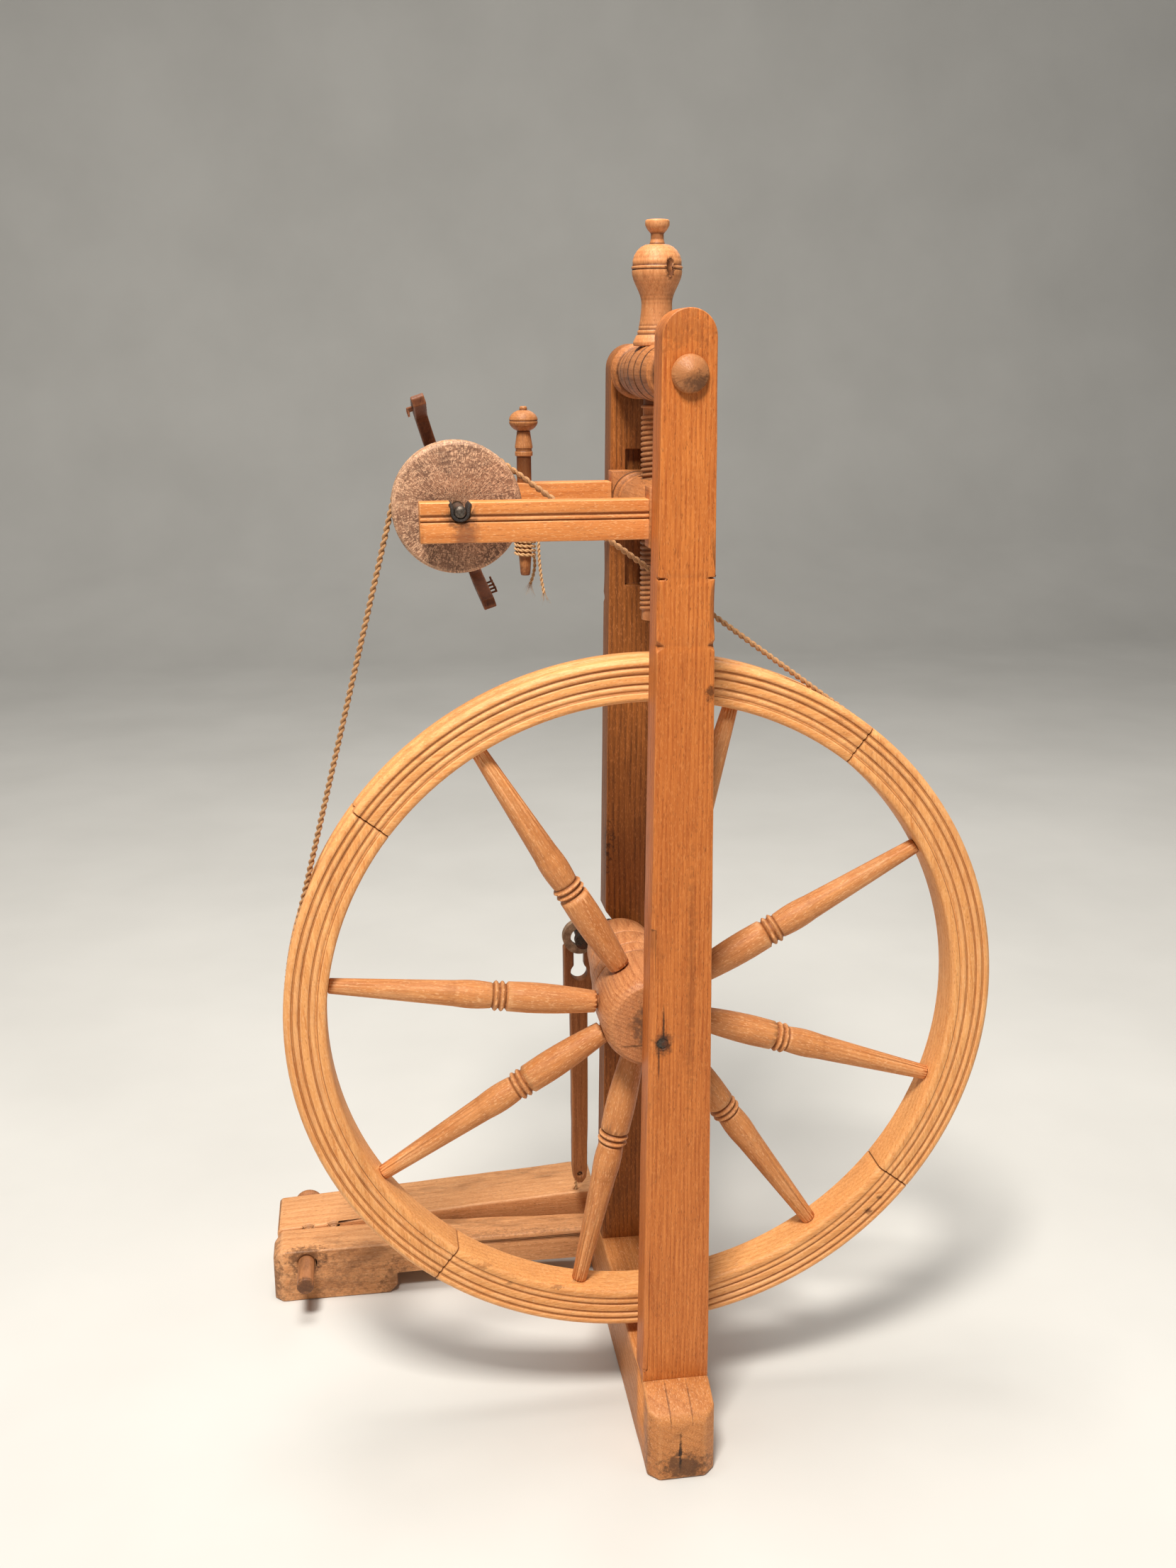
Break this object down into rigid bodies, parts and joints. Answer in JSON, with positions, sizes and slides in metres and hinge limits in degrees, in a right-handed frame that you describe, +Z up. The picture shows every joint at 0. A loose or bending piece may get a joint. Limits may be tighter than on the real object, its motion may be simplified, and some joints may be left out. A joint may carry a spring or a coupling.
{
  "type": "spinning wheel",
  "caption": "Upright treadle spinning wheel: spoked drive wheel between two wooden posts, a cord band up to a flyer on a screw-adjusted carriage, with crank, footman and foot treadle.",
  "frame": {"origin": "on the floor under the wheel's centre, on the cross beam's underside", "axes": "+Z up along the posts; the axle lies along Y with the crank towards +Y; the side beam and treadle run towards -X"},
  "size_m": [0.6233, 0.4184, 0.9914],
  "materials": {
    "base_wood": "worn pale brown wood",
    "post_wood": "oiled red-brown wood",
    "wheel_wood": "warm tan wood",
    "arm_wood": "orange-tan wood",
    "turned_wood": "turned brown wood",
    "whorl_wood": "grey-brown speckled end grain",
    "dark_wood": "dark brown wood",
    "iron": "dark forged iron",
    "leather_grey": "worn grey-brown leather",
    "leather_black": "oiled black leather",
    "cord": "twisted plant-fibre cord"
  },
  "bodies": {
    "frame": {"cross_beam": "base_wood", "front_post": "post_wood", "rear_post": "post_wood", "side_beam": "base_wood", "treadle_pin": "turned_wood", "top_drum": "turned_wood", "drum_cap_front": "post_wood", "drum_cap_rear": "post_wood", "drive_band": "cord"},
    "treadle": {"treadle": "base_wood", "treadle_tie": "cord"},
    "wheel": {"hub": "wheel_wood", "axle": "iron", "spoke_1": "wheel_wood", "spoke_2": "wheel_wood", "spoke_3": "wheel_wood", "spoke_4": "wheel_wood", "spoke_5": "wheel_wood", "spoke_6": "wheel_wood", "spoke_7": "wheel_wood", "spoke_8": "wheel_wood", "felloe_1": "wheel_wood", "felloe_2": "wheel_wood", "felloe_3": "wheel_wood", "felloe_4": "wheel_wood", "felloe_key_1": "wheel_wood", "felloe_key_2": "wheel_wood", "felloe_key_3": "wheel_wood", "felloe_key_4": "wheel_wood"},
    "footman": {"footman": "turned_wood", "crank_loop": "leather_grey"},
    "carriage": {"nut_barrel": "turned_wood", "front_arm": "arm_wood", "rear_arm": "arm_wood", "front_bearing": "leather_black", "rear_bearing": "leather_black"},
    "screw": {"tension_screw": "wheel_wood"},
    "flyer": {"spindle": "iron", "whorl": "whorl_wood", "flyer_yoke": "dark_wood", "flyer_hooks": "iron"},
    "bobbin": {"bobbin": "turned_wood"},
    "brake_peg": {"brake_peg": "turned_wood", "brake_cord_wrap": "cord", "brake_cord_long": "cord", "brake_cord_short": "cord"}
  },
  "joints": [
    {"name": "wheel_spin", "type": "hinge", "parent": "frame", "child": "wheel", "pos_m": [0, 0, 0.377], "axis": [0, 1, 0], "continuous": true},
    {"name": "footman_hang", "type": "hinge", "parent": "wheel", "child": "footman", "pos_m": [-0.02577, 0.199, 0.36606], "axis": [0, 1, 0], "continuous": true},
    {"name": "treadle_rock", "type": "hinge", "parent": "frame", "child": "treadle", "pos_m": [-0.298, 0.265, 0.041], "axis": [0, -1, 0], "range_deg": [-5, 7], "deforming": ["treadle_tie"]},
    {"name": "carriage_slide", "type": "slide", "parent": "frame", "child": "carriage", "axis": [0, 0, 1], "range_m": [-0.04, 0.022], "deforming": ["drive_band"]},
    {"name": "screw_turn", "type": "hinge", "parent": "frame", "child": "screw", "pos_m": [0.014, 0.0465, 0.9], "axis": [0, 0, 1], "range_deg": [-1000, 1810]},
    {"name": "flyer_spin", "type": "hinge", "parent": "carriage", "child": "flyer", "pos_m": [-0.145, 0, 0.786], "axis": [0, 1, 0], "continuous": true},
    {"name": "bobbin_spin", "type": "hinge", "parent": "flyer", "child": "bobbin", "pos_m": [-0.145, 0.05, 0.786], "axis": [0, 1, 0], "continuous": true},
    {"name": "peg_turn", "type": "hinge", "parent": "carriage", "child": "brake_peg", "pos_m": [-0.08, 0.13065, 0.78], "axis": [0, 0, 1], "range_deg": [-180, 180]}
  ],
  "couplings": [
    {"joint": "footman_hang", "follows": "wheel_spin", "ratio": -1},
    {"joint": "flyer_spin", "follows": "wheel_spin", "ratio": 6.3377},
    {"joint": "screw_turn", "follows": "carriage_slide", "rad_per_m": -785.4}
  ]
}
